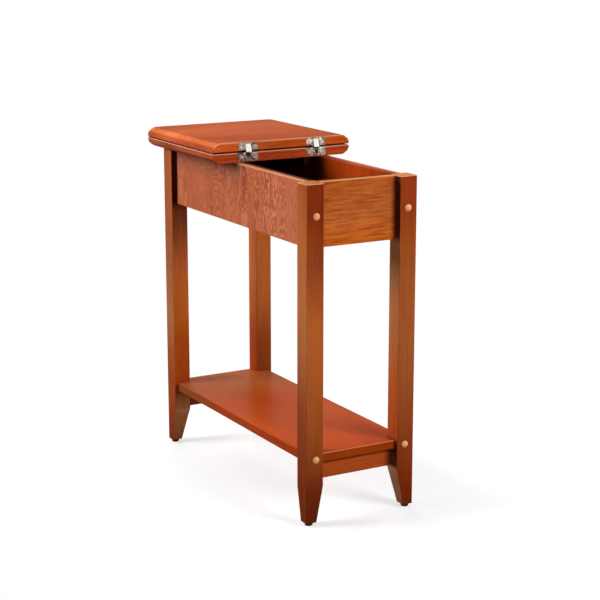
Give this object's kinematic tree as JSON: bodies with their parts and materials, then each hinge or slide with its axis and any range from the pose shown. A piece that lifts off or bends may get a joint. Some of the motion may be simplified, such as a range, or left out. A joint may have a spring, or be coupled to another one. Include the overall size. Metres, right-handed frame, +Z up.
{
  "type": "flip-top end table",
  "caption": "Narrow wooden end table with tapered legs, an open shelf and a storage box whose top folds back on link hinges.",
  "frame": {"origin": "on the floor, under the middle of the open table's bounding box", "axes": "+Z up, -Y towards the narrow front with the folding half of the top, +X to the right seen from the front"},
  "size_m": [0.2794, 0.5728, 0.6284],
  "materials": {
    "cherry_wood": "satin cherry stain",
    "box_floor_board": "dark stained inside boards",
    "plain_wood": "unfinished",
    "button_wood": "clear satin",
    "black_plastic": "matte",
    "screw_steel": "zinc plated",
    "hinge_nickel": "bright nickel plated"
  },
  "bodies": {
    "table_frame": {"front_left_leg": "cherry_wood", "front_right_leg": "cherry_wood", "back_left_leg": "cherry_wood", "back_right_leg": "cherry_wood", "front_apron": "cherry_wood", "back_apron": "cherry_wood", "left_side_panel": "cherry_wood", "right_side_panel": "cherry_wood", "front_stretcher": "cherry_wood", "back_stretcher": "cherry_wood", "shelf": "cherry_wood", "fixed_leaf": "cherry_wood", "compartment_floor": "box_floor_board", "left_cleat": "box_floor_board", "right_cleat": "box_floor_board", "side_panel_dowels": "plain_wood", "apron_dowels": "plain_wood", "stretcher_dowels": "plain_wood", "front_leg_buttons": "button_wood", "back_leg_buttons": "button_wood", "front_left_glide": "black_plastic", "front_right_glide": "black_plastic", "back_left_glide": "black_plastic", "back_right_glide": "black_plastic", "side_panel_screws": "screw_steel", "shelf_screws": "screw_steel", "cleat_panel_screws": "screw_steel", "cleat_leaf_screws": "screw_steel", "hinge_fixed_screws": "screw_steel", "left_hinge_fixed_plate": "hinge_nickel", "right_hinge_fixed_plate": "hinge_nickel", "left_hinge_fixed_pin": "hinge_nickel", "right_hinge_fixed_pin": "hinge_nickel"},
    "hinge_links": {"left_hinge_link": "hinge_nickel", "right_hinge_link": "hinge_nickel"},
    "flip_top": {"flip_leaf": "cherry_wood", "left_hinge_flip_plate": "hinge_nickel", "right_hinge_flip_plate": "hinge_nickel", "left_hinge_flip_pin": "hinge_nickel", "right_hinge_flip_pin": "hinge_nickel", "hinge_flip_screws": "screw_steel"}
  },
  "joints": [
    {"name": "link_turn", "type": "hinge", "parent": "table_frame", "child": "hinge_links", "pos_m": [0, -0.00165, 0.6066], "axis": [1, 0, 0], "range_deg": [0, 90]},
    {"name": "leaf_turn", "type": "hinge", "parent": "hinge_links", "child": "flip_top", "pos_m": [0, -0.00165, 0.6147], "axis": [1, 0, 0], "range_deg": [0, 90]}
  ],
  "couplings": [
    {"joint": "leaf_turn", "follows": "link_turn", "ratio": 1}
  ]
}
